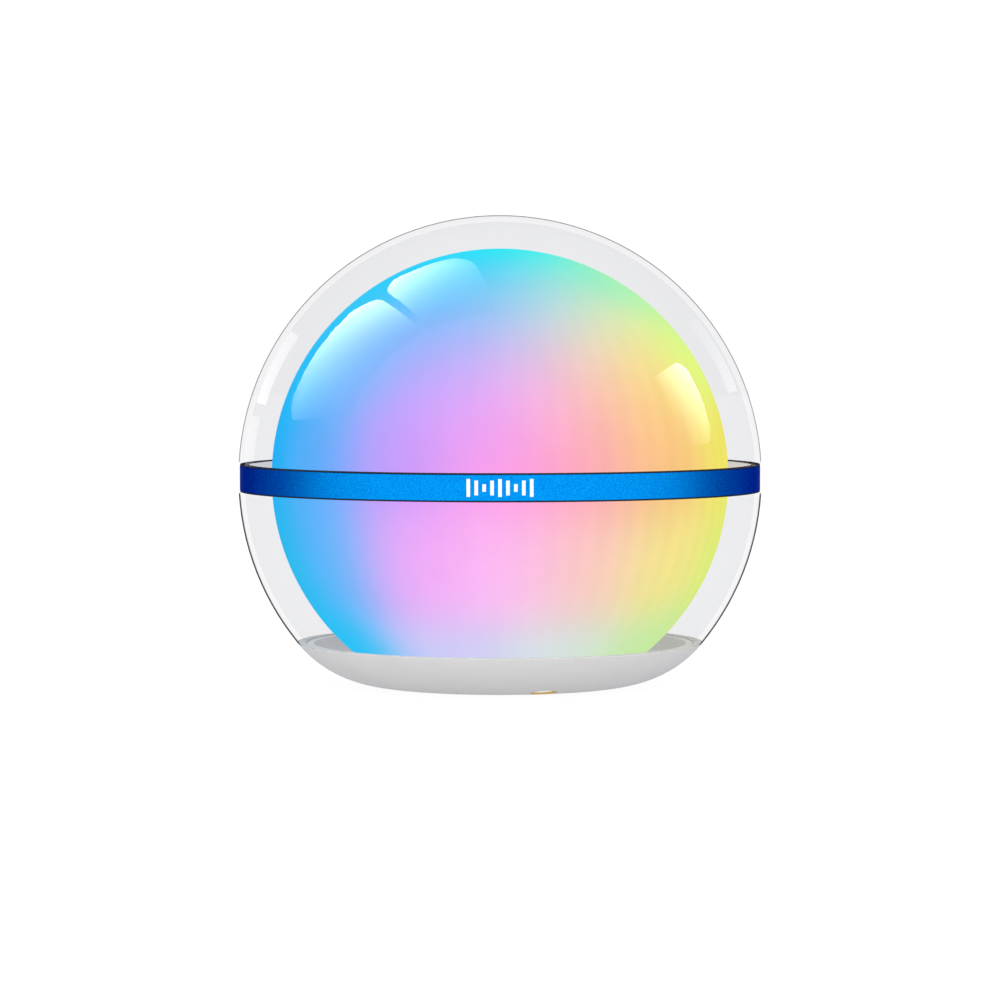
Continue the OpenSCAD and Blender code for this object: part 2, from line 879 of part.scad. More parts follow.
upper_shell();
lower_shell();
band();
sound_mark();
gasket(centre_z + band_half);  // upper_gasket
gasket(centre_z - band_half - gasket_t);  // lower_gasket
coupling_ring();
diffuser_upper();
diffuser_lower();
base_shell();
deck();
bottom_plate();
grille_cloth();
foot_pads();
base_screws();
driver_gasket();
driver_basket();
driver_top_plate();
driver_magnet();
driver_pole();
driver_surround();
driver_spider();
driver_cone();
dust_cap();
coil_former();
voice_coil();
driver_screws();
terminal_strip();
speaker_leads();
tower_core();
tower_screws();
crown_board();
led_strips();
led_chips();
battery_cells();
battery_tray();
battery_cap();
cell_links();
battery_leads();
led_leads();
main_board();
board_screws();
control_chips();
rf_shield();
inductors();
lead_sockets();
usb_shell();
usb_tongue();
button_cap();
button_plunger();
button_bezel();
button_switch();
button_board();
button_screws();
button_leads();
microphone();
mic_boot();
mic_leads();
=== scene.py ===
"""The looks of a light-up smart speaker: a frosted lit globe inside a clear globe, with a
blue metal band round the middle, on a white base. Metres, +Z up, the front faces -Y."""
import json
import math

import bmesh
import bpy
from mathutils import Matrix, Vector


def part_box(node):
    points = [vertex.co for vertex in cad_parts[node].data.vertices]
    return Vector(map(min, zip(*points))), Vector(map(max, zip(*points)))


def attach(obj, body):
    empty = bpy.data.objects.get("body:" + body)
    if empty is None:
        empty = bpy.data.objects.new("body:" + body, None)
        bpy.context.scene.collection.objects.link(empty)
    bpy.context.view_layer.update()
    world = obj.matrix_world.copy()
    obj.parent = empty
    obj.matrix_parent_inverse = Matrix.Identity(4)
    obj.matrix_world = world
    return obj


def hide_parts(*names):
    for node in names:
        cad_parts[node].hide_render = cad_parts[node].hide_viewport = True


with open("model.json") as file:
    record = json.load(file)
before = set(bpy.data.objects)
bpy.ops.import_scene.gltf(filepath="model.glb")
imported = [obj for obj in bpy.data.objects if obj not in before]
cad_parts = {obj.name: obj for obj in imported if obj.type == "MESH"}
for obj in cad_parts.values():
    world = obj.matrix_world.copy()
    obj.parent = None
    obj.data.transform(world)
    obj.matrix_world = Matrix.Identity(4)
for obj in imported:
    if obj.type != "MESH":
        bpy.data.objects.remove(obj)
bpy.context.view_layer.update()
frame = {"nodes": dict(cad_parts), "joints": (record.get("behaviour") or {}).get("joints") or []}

MM = 0.001
NODES = frame["nodes"]

# ---------------------------------------------------------------- sizes, from the frame

BAND_LOW, BAND_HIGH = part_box("band")
CENTRE_Z = (BAND_LOW[2] + BAND_HIGH[2]) / 2
GLOBE_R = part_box("upper_shell")[1][2] - CENTRE_Z
DIFFUSER_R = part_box("diffuser_upper")[1][2] - CENTRE_Z
DECK_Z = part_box("diffuser_lower")[0][2]
RIM_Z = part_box("base_shell")[1][2]
CENTRE = Vector((0, 0, CENTRE_Z))
DIFFUSER_WALL = 2 * MM
LIP = 1.3 * MM                                        # the clear wall's plain edge beside the band
LAP = CENTRE_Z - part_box("diffuser_upper")[0][2]      # how far the upper half slips into the lower


# ---------------------------------------------------------------- shader helpers

def linear(*rgb):
    """A display colour as linear RGBA."""
    return tuple(c / 12.92 if c <= 0.04045 else ((c + 0.055) / 1.055) ** 2.4 for c in rgb) + (1.0,)


class Shader:
    """A material's node tree, with short calls for the nodes used in this file."""

    def __init__(self, name):
        self.material = bpy.data.materials.new(name)
        self.material.use_nodes = True
        self.tree = self.material.node_tree
        self.body = self.tree.nodes["Principled BSDF"]
        self.out = self.tree.nodes["Material Output"]
        self.place = self.node("ShaderNodeTexCoord").outputs["Object"]

    def node(self, kind, **settings):
        made = self.tree.nodes.new(kind)
        for key, value in settings.items():
            setattr(made, key, value)
        return made

    def feed(self, value, socket):
        """Links value to socket if it is a socket, or sets it there."""
        if isinstance(value, bpy.types.NodeSocket):
            self.tree.links.new(value, socket)
        else:
            socket.default_value = value

    def math(self, how, a, b=0.0, c=0.0):
        made = self.node("ShaderNodeMath", operation=how)
        for value, socket in zip((a, b, c), made.inputs):
            self.feed(value, socket)
        return made.outputs[0]

    def vector(self, how, a, b=None, scale=None):
        made = self.node("ShaderNodeVectorMath", operation=how)
        self.feed(a, made.inputs[0])
        if b is not None:
            self.feed(b, made.inputs[1])
        if scale is not None:
            self.feed(scale, made.inputs["Scale"])
        return made.outputs["Value" if how in ("DOT_PRODUCT", "LENGTH") else "Vector"]

    def xyz(self, vector=None):
        made = self.node("ShaderNodeSeparateXYZ")
        self.feed(vector or self.place, made.inputs[0])
        return made.outputs

    def stretch(self, x, y, z):
        """The object's coordinates, scaled along each axis."""
        made = self.node("ShaderNodeMapping")
        self.feed(self.place, made.inputs["Vector"])
        made.inputs["Scale"].default_value = (x, y, z)
        return made.outputs[0]

    def noise(self, size, detail=3.0, rough=0.55, vector=None):
        """Noise from 0 to 1 with features of about the given size in metres."""
        made = self.node("ShaderNodeTexNoise")
        self.feed(vector or self.place, made.inputs["Vector"])
        made.inputs["Scale"].default_value = 1 / size
        made.inputs["Detail"].default_value = detail
        made.inputs["Roughness"].default_value = rough
        return made.outputs["Fac"]

    def cells(self, size, feature="F1"):
        made = self.node("ShaderNodeTexVoronoi", feature=feature)
        self.feed(self.place, made.inputs["Vector"])
        made.inputs["Scale"].default_value = 1 / size
        return made.outputs["Distance"]

    def remap(self, value, low, high, to_low=0.0, to_high=1.0):
        made = self.node("ShaderNodeMapRange")
        self.feed(value, made.inputs["Value"])
        for key, limit in (("From Min", low), ("From Max", high), ("To Min", to_low), ("To Max", to_high)):
            made.inputs[key].default_value = limit
        return made.outputs["Result"]

    def mix(self, amount, a, b):
        made = self.node("ShaderNodeMix", data_type="RGBA")
        self.feed(amount, made.inputs["Factor"])
        self.feed(a, made.inputs["A"])
        self.feed(b, made.inputs["B"])
        return made.outputs["Result"]

    def bump(self, height, depth, strength=1.0):
        """Bump of the given depth in metres."""
        made = self.node("ShaderNodeBump")
        made.inputs["Strength"].default_value = strength
        made.inputs["Distance"].default_value = depth
        self.feed(height, made.inputs["Height"])
        self.feed(made.outputs[0], self.body.inputs["Normal"])
        return made.outputs[0]

    def set(self, **values):
        """Feeds the Principled shader, with _ in a key standing for a space."""
        for key, value in values.items():
            self.feed(value, self.body.inputs[key.replace("_", " ")])
        return self


# ---------------------------------------------------------------- materials

def moulded(name, colour, rough=0.42, grain=0.35 * MM, depth=0.012 * MM, mottle=0.03, **more):
    """Moulded plastic or rubber: spark-eroded grain, faint mottle and uneven gloss."""
    s = Shader(name)
    fine = s.noise(grain, 4, 0.65)
    cloud = s.noise(14 * MM, 3)
    light = linear(*(min(c * (1 + mottle), 1) for c in colour))
    dark = linear(*(c * (1 - mottle) for c in colour))
    s.set(Base_Color=s.mix(s.math("MULTIPLY_ADD", fine, 0.4, s.math("MULTIPLY", cloud, 0.6)), dark, light))
    s.set(Roughness=s.remap(s.noise(3 * MM), 0.3, 0.7, rough - 0.04, rough + 0.05), **more)
    s.bump(fine, depth)
    return s.material


def base_white():
    """The base's white plastic. Its rim under the clear wall has a faint painted glow, tinted cooler to the
    left and warmer to the right, and isn't shiny."""
    s = Shader("base_white")
    fine = s.noise(0.7 * MM, 4, 0.65)
    cloud = s.noise(14 * MM, 3)
    blend = s.math("MULTIPLY_ADD", fine, 0.4, s.math("MULTIPLY", cloud, 0.6))
    s.set(Base_Color=s.mix(blend, linear(0.915, 0.914, 0.91), linear(0.97, 0.97, 0.966)))
    s.set(Roughness=s.remap(s.noise(3 * MM), 0.3, 0.7, 0.41, 0.5))
    x, _, z = s.xyz()
    # painted light: the rim glows faintly though no lamp is there, cooler to the left and warmer to the
    # right
    rim = s.remap(z, RIM_Z - 0.25 * MM, RIM_Z - 0.05 * MM, 0.0, 1.0)
    painted_glow_hue = s.mix(s.remap(x, -20 * MM, 30 * MM), linear(0.95, 0.98, 0.98), linear(0.98, 1.0, 0.95))
    s.set(Emission_Color=painted_glow_hue, Emission_Strength=s.math("MULTIPLY", rim, 0.2))
    s.set(Specular_IOR_Level=s.remap(rim, 0.0, 1.0, 0.3, 0.0))
    s.bump(fine, 0.012 * MM)
    return s.material


def brushed(name, colour, rough=0.3, along=(1, 1, 0.04), **more):
    """Metal with fine drawn lines, stretched along one axis."""
    s = Shader(name)
    lines = s.noise(0.25 * MM, 3, 0.6, s.stretch(*along))
    stain = s.noise(6 * MM)
    s.set(Base_Color=s.mix(stain, linear(*(c * 0.9 for c in colour)), linear(*colour)))
    s.set(Roughness=s.math("MULTIPLY_ADD", lines, 0.18, rough - 0.09), Metallic=1.0, **more)
    s.bump(lines, 0.008 * MM)
    return s.material


def clear_wall(name, edge_tint, edge_from):
    """Clear moulded plastic. It is seen straight through, with a faint grey tint. Only the outer skin
    reflects. Where the camera sees it edge on, painted shade darkens it to a thin line, by edge_tint from
    edge_from up; light passing through gets no such line."""
    s = Shader(name)
    facing = s.node("ShaderNodeLayerWeight").outputs["Facing"]
    radius = s.vector("LENGTH", s.vector("SUBTRACT", s.place, CENTRE))
    off_band = s.math("ABSOLUTE", s.math("SUBTRACT", s.xyz()[2], CENTRE_Z))
    skin = s.math("MULTIPLY", s.math("GREATER_THAN", radius, GLOBE_R - 0.2 * MM),
                  s.math("GREATER_THAN", off_band, BAND_HIGH[2] - CENTRE_Z + LIP))
    behind = s.node("ShaderNodeNewGeometry").outputs["Backfacing"]
    front = s.math("MULTIPLY", skin, s.math("SUBTRACT", 1.0, behind))
    bounce = s.math("MULTIPLY", front, s.math("MULTIPLY_ADD", s.math("POWER", facing, 5.0), 0.05, 0.03))
    through = s.node("ShaderNodeBsdfTransparent")
    # painted shade: for camera rays the see-through colour darkens to edge_tint near the edge-on outline
    edge = s.math("MULTIPLY", skin, s.remap(facing, edge_from, edge_from + 0.05))
    tint = s.mix(edge, (0.95, 0.951, 0.955, 1), (edge_tint, edge_tint, edge_tint * 1.02, 1))
    looked_at = s.node("ShaderNodeLightPath").outputs["Is Camera Ray"]
    s.feed(s.mix(looked_at, (0.985, 0.985, 0.985, 1), tint), through.inputs[0])
    s.set(Base_Color=s.mix(s.noise(30 * MM), (0.97, 0.97, 0.98, 1), (1, 1, 1, 1)))
    s.set(Metallic=1.0, Roughness=0.0)
    s.bump(s.noise(40 * MM, 1), 0.01 * MM)
    both = s.node("ShaderNodeMixShader")
    s.feed(bounce, both.inputs[0])
    s.feed(through.outputs[0], both.inputs[1])
    s.feed(s.body.outputs[0], both.inputs[2])
    s.feed(both.outputs[0], s.out.inputs["Surface"])
    return s.material


# The light behind the frosted globe: patches of colour in rows, from the top down. Each row is
# (elevation, [(azimuth, red, green, blue), ...]) in degrees, azimuth 0 at the front, + to the right.
# The back half mirrors the front.
GLOW_ROWS = [
    (80, [(-40, 0.04, 0.87, 0.98), (40, 0.08, 0.96, 0.95)]),
    (58, [(-70, 0.12, 0.79, 0.97), (-25, 0.12, 0.80, 0.99), (15, 0.18, 0.86, 0.95), (50, 0.50, 0.95, 0.74),
          (85, 0.75, 0.95, 0.66)]),
    (45, [(-15, 0.42, 0.73, 0.98), (2, 0.48, 0.78, 0.97), (18, 0.74, 0.87, 0.88), (34, 0.84, 0.94, 0.70)]),
    (32, [(-75, 0.12, 0.76, 0.97), (-40, 0.45, 0.74, 0.99), (-14, 0.68, 0.66, 0.98), (4, 0.88, 0.72, 0.97),
          (22, 1.00, 0.79, 0.72), (42, 1.00, 0.92, 0.50), (66, 0.88, 0.99, 0.50)]),
    (19, [(-14, 0.82, 0.62, 0.99), (2, 1.00, 0.65, 0.98), (20, 1.00, 0.71, 0.72), (38, 1.00, 0.80, 0.50)]),
    (6, [(-80, 0.10, 0.69, 0.97), (-48, 0.32, 0.68, 0.98), (-26, 0.77, 0.59, 0.98), (0, 1.00, 0.58, 0.90),
         (20, 0.99, 0.62, 0.70), (42, 0.98, 0.75, 0.48), (74, 0.95, 0.90, 0.38)]),
    (-20, [(-75, 0.11, 0.73, 0.93), (-45, 0.32, 0.71, 0.98), (-22, 0.96, 0.65, 0.97), (0, 1.00, 0.73, 0.96),
           (22, 0.99, 0.79, 0.75), (46, 0.95, 0.90, 0.52), (80, 0.86, 0.93, 0.46)]),
    (-48, [(-60, 0.08, 0.76, 0.97), (-15, 0.80, 0.80, 0.97), (20, 0.83, 0.89, 0.88),
           (55, 0.76, 0.92, 0.62)]),
]
GLOW_BLEND = 30.0       # how sharply one patch gives way to the next
GLOW_STRENGTH = 1.12
GLOW_SPILL = 0.12       # how strongly the globe lights what is round it
FLUTES = 52
FLUTE_DEPTH = 0.15 * MM


def glow_field(s):
    """The globe's colour at each point: an average of the patches, weighted by how near each is."""
    x, y, z = s.xyz(s.vector("NORMALIZE", s.vector("SUBTRACT", s.place, CENTRE)))
    folded = s.math("SQRT", s.math("MULTIPLY_ADD", y, y, 0.02))
    out = s.node("ShaderNodeCombineXYZ")
    for value, socket in zip((x, s.math("MULTIPLY", folded, -1.0), z), out.inputs):
        s.feed(value, socket)
    out = out.outputs[0]
    total = colours = None
    for elevation, row in GLOW_ROWS:
        for azimuth, red, green, blue in row:
            a, e = math.radians(azimuth), math.radians(elevation)
            towards = (math.cos(e) * math.sin(a), -math.cos(e) * math.cos(a), math.sin(e))
            near = s.vector("DOT_PRODUCT", out, towards)
            weight = s.math("EXPONENT", s.math("MULTIPLY_ADD", near, GLOW_BLEND, -GLOW_BLEND))
            part = s.vector("SCALE", linear(red, green, blue)[:3], scale=weight)
            colours = part if colours is None else s.vector("ADD", colours, part)
            total = weight if total is None else s.math("ADD", total, weight)
    return s.vector("SCALE", colours, scale=s.math("DIVIDE", 1.0, total))


def flute_wave(angle):
    """The moulded flutes' height round the globe, from 0 to 1."""
    return 0.5 + 0.5 * math.sin(FLUTES * angle)


def frosted():
    """Milky diffuser lit from behind, a little brighter on the crests of its flutes; the ripple is painted
    stronger towards +X, as light falling from that side would show it.
    """
    s = Shader("frosted")
    x, y, z = s.xyz()
    height = s.math("SUBTRACT", z, CENTRE_Z)
    flute = s.math("SINE", s.math("MULTIPLY", s.math("ARCTAN2", y, x), float(FLUTES)))
    # painted light: the flutes' ripple grows from 0.003 to 0.014 towards +X, as if lit from that side
    side = s.remap(x, -0.2 * DIFFUSER_R, 0.6 * DIFFUSER_R, 0.003, 0.014)
    belt = s.remap(s.math("ABSOLUTE", height), 0.3 * DIFFUSER_R, 0.85 * DIFFUSER_R, 1.0, 0.1)
    cloud = s.math("MULTIPLY_ADD", s.noise(2 * MM, 5, 0.7), 0.3, s.noise(22 * MM, 2))
    level = s.math("MULTIPLY_ADD", flute, s.math("MULTIPLY", side, belt),
                   s.remap(cloud, 0.4, 0.9, 0.975, 1.02))
    s.set(Base_Color=linear(0.1, 0.1, 0.11), Emission_Color=s.vector("SCALE", glow_field(s), scale=level))
    spill = s.node("ShaderNodeLightPath").outputs["Is Diffuse Ray"]
    s.set(Emission_Strength=s.remap(spill, 0, 1, GLOW_STRENGTH, GLOW_SPILL), Specular_IOR_Level=0.0)
    s.set(Roughness=s.remap(s.noise(9 * MM), 0.3, 0.7, 0.5, 0.6))
    s.bump(s.noise(0.4 * MM, 3), 0.01 * MM)
    return s.material


def anodised_blue():
    """Blue anodised aluminium with a fine sparkling grain."""
    s = Shader("anodised_blue")
    grain = s.noise(0.5 * MM, 5, 0.75)
    flake = s.noise(0.9 * MM, 2, 0.5)
    tone = s.mix(s.remap(grain, 0.3, 0.7), linear(0.0, 0.4, 0.9), linear(0.02, 0.72, 1.0))
    s.set(Base_Color=tone, Metallic=1.0, Specular_Tint=linear(0.0, 0.35, 0.8))
    s.set(Roughness=s.remap(flake, 0.3, 0.7, 0.2, 0.32))
    s.bump(grain, 0.03 * MM)
    return s.material


def anodised_gold():
    s = Shader("anodised_gold")
    spin = s.noise(0.3 * MM, 3)
    s.set(Base_Color=s.mix(spin, linear(0.92, 0.7, 0.3), linear(1.0, 0.84, 0.46)))
    s.set(Metallic=1.0, Roughness=s.remap(spin, 0.3, 0.7, 0.14, 0.24))
    s.bump(spin, 0.006 * MM)
    return s.material


def woven(name, colour, pitch=0.5 * MM):
    """Cloth with crossed threads."""
    s = Shader(name)
    x, y, _ = s.xyz()
    turns = 2 * math.pi / pitch
    over = s.math("SINE", s.math("MULTIPLY", x, turns))
    under = s.math("SINE", s.math("MULTIPLY", y, turns))
    weave = s.math("MAXIMUM", over, under)
    fuzz = s.noise(0.2 * MM, 4)
    # painted shade: the cloth darkens to 0.45 of its colour where the threads dip
    s.set(Base_Color=s.mix(s.remap(weave, -1, 1), linear(*(c * 0.45 for c in colour)), linear(*colour)))
    s.set(Roughness=s.remap(fuzz, 0.3, 0.7, 0.82, 0.95), Sheen_Weight=0.3)
    s.bump(weave, 0.06 * MM)
    return s.material


def circuit():
    """Green solder mask with tracks and tinned pads."""
    s = Shader("circuit")
    track = s.cells(3.2 * MM, "DISTANCE_TO_EDGE")
    pads = s.cells(2.3 * MM)
    is_track = s.math("LESS_THAN", track, 0.06)
    is_pad = s.math("LESS_THAN", pads, 0.16)
    mask = s.mix(s.noise(8 * MM), linear(0.02, 0.27, 0.13), linear(0.04, 0.36, 0.19))
    tracks = s.mix(is_track, mask, linear(0.09, 0.48, 0.26))
    s.set(Base_Color=s.mix(is_pad, tracks, linear(0.8, 0.79, 0.74)), Metallic=is_pad)
    s.set(Roughness=s.remap(s.noise(2 * MM), 0.3, 0.7, 0.25, 0.38))
    s.bump(s.math("MAXIMUM", is_track, is_pad), 0.03 * MM)
    return s.material


def led_board():
    """White solder mask with printed copper rails under it."""
    s = Shader("led_board")
    rail = s.math("LESS_THAN", s.cells(5 * MM, "DISTANCE_TO_EDGE"), 0.07)
    s.set(Base_Color=s.mix(rail, linear(0.93, 0.93, 0.9), linear(0.84, 0.83, 0.78)))
    s.set(Roughness=s.remap(s.noise(2 * MM), 0.3, 0.7, 0.3, 0.42))
    s.bump(rail, 0.02 * MM)
    return s.material


def lit_led():
    """LED with a glowing phosphor face."""
    s = Shader("lit_led")
    spot = s.noise(2 * MM, 2)
    s.set(Base_Color=s.mix(spot, linear(0.95, 0.9, 0.65), linear(1.0, 0.97, 0.8)))
    s.set(Emission_Color=s.mix(spot, linear(1.0, 0.9, 0.7), linear(1, 1, 1)), Emission_Strength=2.0)
    s.set(Roughness=s.remap(spot, 0.3, 0.7, 0.2, 0.3))
    return s.material


def pressed_paper(name, colour):
    """Felted pulp, as in a speaker cone."""
    s = Shader(name)
    fibre = s.noise(0.35 * MM, 6, 0.75, s.stretch(1, 1, 0.35))
    dark = linear(*(c * 0.7 for c in colour))
    light = linear(*(min(c * 1.25, 1) for c in colour))
    s.set(Base_Color=s.mix(fibre, dark, light))
    s.set(Roughness=s.remap(fibre, 0.3, 0.7, 0.75, 0.92))
    s.bump(fibre, 0.05 * MM)
    return s.material


def wound_copper():
    """Enamelled wire laid turn on turn."""
    s = Shader("wound_copper")
    _, _, z = s.xyz()
    turn = s.math("SINE", s.math("MULTIPLY", z, 2 * math.pi / (0.2 * MM)))
    s.set(Base_Color=s.mix(s.noise(1 * MM), linear(0.66, 0.33, 0.13), linear(0.88, 0.5, 0.24)))
    s.set(Metallic=1.0, Roughness=s.remap(turn, -1, 1, 0.3, 0.42))
    s.bump(turn, 0.03 * MM)
    return s.material


def cell_sleeve():
    """Shrink sleeve of a battery cell, glossy with faint tension lines."""
    s = Shader("cell_sleeve")
    pull = s.noise(2.5 * MM, 3, 0.6, s.stretch(1, 1, 0.12))
    s.set(Base_Color=s.mix(pull, linear(0.05, 0.42, 0.26), linear(0.1, 0.56, 0.36)))
    s.set(Roughness=s.remap(pull, 0.3, 0.7, 0.18, 0.32), Coat_Weight=0.4)
    s.bump(pull, 0.03 * MM)
    return s.material


def sintered():
    """Ferrite: dark, dense and grainy."""
    s = Shader("ferrite")
    pit = s.noise(0.5 * MM, 6, 0.8)
    s.set(Base_Color=s.mix(pit, linear(0.1, 0.1, 0.11), linear(0.22, 0.22, 0.23)))
    s.set(Roughness=s.remap(pit, 0.3, 0.7, 0.5, 0.7))
    s.bump(pit, 0.03 * MM)
    return s.material


def dress(material, *names):
    """Gives CAD nodes a finished material."""
    for name in names:
        for held in NODES[name].material_slots:
            held.material = material


def dress_all():
    dress(clear_wall("clear_upper", 0.45, 0.9), "upper_shell")
    dress(clear_wall("clear_lower", 0.05, 0.875), "lower_shell")
    dress(anodised_blue(), "band")
    dress(moulded("mark_ink", (0.97, 0.98, 1.0), 0.35, 0.2 * MM, 0.004 * MM, 0.01), "sound_mark")
    # partly painted shadow: the seals are black both as their own colour and to show as the dark gap lines
    # beside the band
    dress(moulded("black_seal_painted_gap_shadow", (0.05, 0.05, 0.07), 0.6), "upper_gasket", "lower_gasket")
    dress(moulded("inner_white", (0.9, 0.9, 0.92), 0.35), "tower_core")
    # painted light: the coupling ring glows so its shaded far side reads as pale as the clear gap
    dress(moulded("coupling_painted_glow", (0.9, 0.9, 0.9), 0.6, 0.4 * MM, 0.006 * MM, 0.02, Specular_IOR_Level=0.0,
                  Emission_Color=linear(1.0, 0.98, 0.97), Emission_Strength=0.55), "coupling_ring")
    dress(base_white(), "base_shell")
    # painted light: the deck glows faintly to look lit inside the clear globe
    dress(moulded("deck_grey", (0.86, 0.86, 0.86), 0.7, 0.6 * MM, 0.012 * MM, 0.04,
                  Specular_IOR_Level=0.0, Emission_Color=linear(1.0, 0.98, 0.97), Emission_Strength=0.36),
          "deck")
    dress(moulded("plate_grey", (0.78, 0.78, 0.79), 0.5, 0.5 * MM, 0.02 * MM), "bottom_plate")
    dress(woven("grille_weave", (0.2, 0.2, 0.21)), "grille_cloth")
    dress(brushed("screw_steel", (0.68, 0.69, 0.72), 0.32), "base_screws", "driver_screws", "tower_screws",
          "board_screws", "button_screws")
    dress(moulded("black_foam", (0.1, 0.1, 0.1), 0.85, 0.25 * MM, 0.08 * MM, 0.15),
          "driver_gasket", "mic_boot")
    dress(moulded("surround_rubber", (0.08, 0.08, 0.08), 0.55, 0.3 * MM, 0.01 * MM), "driver_surround")
    dress(moulded("basket_paint", (0.2, 0.2, 0.22), 0.45, 0.3 * MM, 0.02 * MM, 0.05, Metallic=0.3),
          "driver_basket")
    dress(brushed("zinc_steel", (0.78, 0.79, 0.8), 0.3), "driver_top_plate", "driver_pole")
    dress(sintered(), "driver_magnet")
    dress(woven("spider_weave", (0.78, 0.58, 0.28), 0.4 * MM), "driver_spider")
    dress(pressed_paper("cone_pulp", (0.16, 0.16, 0.17)), "driver_cone", "dust_cap")
    dress(pressed_paper("former_paper", (0.7, 0.52, 0.3)), "coil_former")
    dress(wound_copper(), "voice_coil")
    dress(moulded("terminal_board", (0.55, 0.4, 0.18), 0.5), "terminal_strip")
    dress(moulded("red_wire", (0.75, 0.08, 0.07), 0.4), "speaker_leads", "battery_leads")
    dress(moulded("white_wire", (0.88, 0.88, 0.87), 0.4), "led_leads")
    dress(moulded("black_wire", (0.09, 0.09, 0.1), 0.4), "button_leads", "mic_leads")
    dress(led_board(), "crown_board", "led_strips")
    dress(lit_led(), "led_chips")
    dress(cell_sleeve(), "battery_cells")
    dress(moulded("holder_black", (0.15, 0.15, 0.17), 0.45), "battery_tray", "battery_cap")
    dress(brushed("nickel_strip", (0.8, 0.78, 0.73), 0.25), "cell_links")
    dress(circuit(), "main_board", "button_board")
    dress(moulded("chip_resin", (0.09, 0.09, 0.1), 0.5, 0.2 * MM, 0.015 * MM), "control_chips", "inductors",
          "usb_tongue", "button_switch", "button_plunger")
    dress(brushed("tinned_steel", (0.8, 0.81, 0.83), 0.25), "rf_shield", "usb_shell", "microphone")
    dress(moulded("socket_cream", (0.92, 0.9, 0.83), 0.4), "lead_sockets")


# ---------------------------------------------------------------- turned pieces

def arc(r, z, radius, start, end, steps):
    """Points (radius, height) along an arc about (r, z), between two angles in degrees from outward."""
    turns = [math.radians(start + (end - start) * i / steps) for i in range(steps + 1)]
    return [(r + radius * math.cos(turn), z + radius * math.sin(turn)) for turn in turns]


def turned(name, profile, turns, node, body, material, axis=Vector((0, 0, 1)), origins=(Vector(),),
           shape=None):
    """Turns a closed profile of (radius, height) points round an axis through each origin, into one piece
    that stands for a CAD node. shape may move each point as it is made."""
    across = Vector((1, 0, 0)) - axis * axis.x
    across.normalize()
    other = axis.cross(across)
    bm = bmesh.new()
    for origin in origins:
        rings = []
        for k in range(turns):
            angle = 2 * math.pi * k / turns
            way = across * math.cos(angle) + other * math.sin(angle)
            points = [origin + way * r + axis * h for r, h in profile]
            rings.append([bm.verts.new(shape(point) if shape else point) for point in points])
        for k in range(turns):
            here, there = rings[k], rings[(k + 1) % turns]
            for i in range(len(profile)):
                j = (i + 1) % len(profile)
                bm.faces.new((here[i], there[i], there[j], here[j]))
    bmesh.ops.remove_doubles(bm, verts=bm.verts, dist=0.0005 * MM)
    bmesh.ops.recalc_face_normals(bm, faces=bm.faces)
    for face in bm.faces:
        face.smooth = True
    for edge in bm.edges:
        edge.smooth = edge.calc_face_angle(0.0) < math.radians(35)
    mesh = bpy.data.meshes.new(name)
    bm.to_mesh(mesh)
    bm.free()
    piece = bpy.data.objects.new(name, mesh)
    bpy.context.scene.collection.objects.link(piece)
    mesh.materials.append(material)
    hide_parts(node)
    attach(piece, body)
    return piece


def fluted(point):
    """Lets a point of the globe's outer skin down into its flutes. They fade towards the pole and foot."""
    out = point - CENTRE
    if out.length < DIFFUSER_R - 0.01 * MM:
        return point
    fade = max(0.0, 1 - (out.z / DIFFUSER_R) ** 2) * min(1.0, (point.z - DECK_Z) / (6 * MM))
    return CENTRE + out * (1 - FLUTE_DEPTH * fade * (1 - flute_wave(math.atan2(out.y, out.x))) / DIFFUSER_R)


def make_globe():
    """The frosted globe's two halves, with moulded flutes outside and the lap that joins them inside."""
    material = frosted()
    inner = DIFFUSER_R - DIFFUSER_WALL
    middle = DIFFUSER_R - DIFFUSER_WALL / 2
    slip = 0.05 * MM
    upper = arc(0, CENTRE_Z, DIFFUSER_R, 90, 0, 40)
    upper += [(middle - slip, CENTRE_Z), (middle - slip, CENTRE_Z - LAP)]
    upper += [(inner + slip, CENTRE_Z - LAP), (inner + slip, CENTRE_Z)] + arc(0, CENTRE_Z, inner, 0, 90, 14)
    turned("globe_upper", upper, 6 * FLUTES, "diffuser_upper", "root", material, shape=fluted)
    drop = CENTRE_Z - DECK_Z
    foot, foot_in = (math.degrees(math.asin(drop / r)) for r in (DIFFUSER_R, inner))
    shelf = CENTRE_Z - LAP - 2 * slip
    top_in = math.degrees(math.asin((CENTRE_Z - shelf) / inner))
    lower = arc(0, CENTRE_Z, DIFFUSER_R, 0, -foot, 28) + arc(0, CENTRE_Z, inner, -foot_in, -top_in, 10)
    lower += [(middle, shelf), (middle, CENTRE_Z)]
    turned("globe_lower", lower, 6 * FLUTES, "diffuser_lower", "root", material, shape=fluted)


def make_feet():
    """Rubber feet with a rounded edge and a ring groove in the tread."""
    low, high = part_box("foot_pads")
    r = 4.5 * MM
    apart = high[0] - r
    top = high[2]
    tread = [(0, 0.15 * MM), (1.2 * MM, 0.1 * MM), (1.8 * MM, 0), (2.3 * MM, 0), (2.5 * MM, 0.2 * MM),
             (2.9 * MM, 0.2 * MM), (3.1 * MM, 0)]
    profile = tread + arc(r - 0.5 * MM, 0.5 * MM, 0.5 * MM, -90, 0, 6) + [(r, top), (0, top)]
    rubber = moulded("foot_rubber", (0.36, 0.36, 0.37), 0.75, 0.3 * MM, 0.03 * MM, 0.05)
    places = [Vector((x, y, low[2])) for x in (-apart, apart) for y in (-apart, apart)]
    turned("feet", profile, 64, "foot_pads", "root", rubber, origins=places)


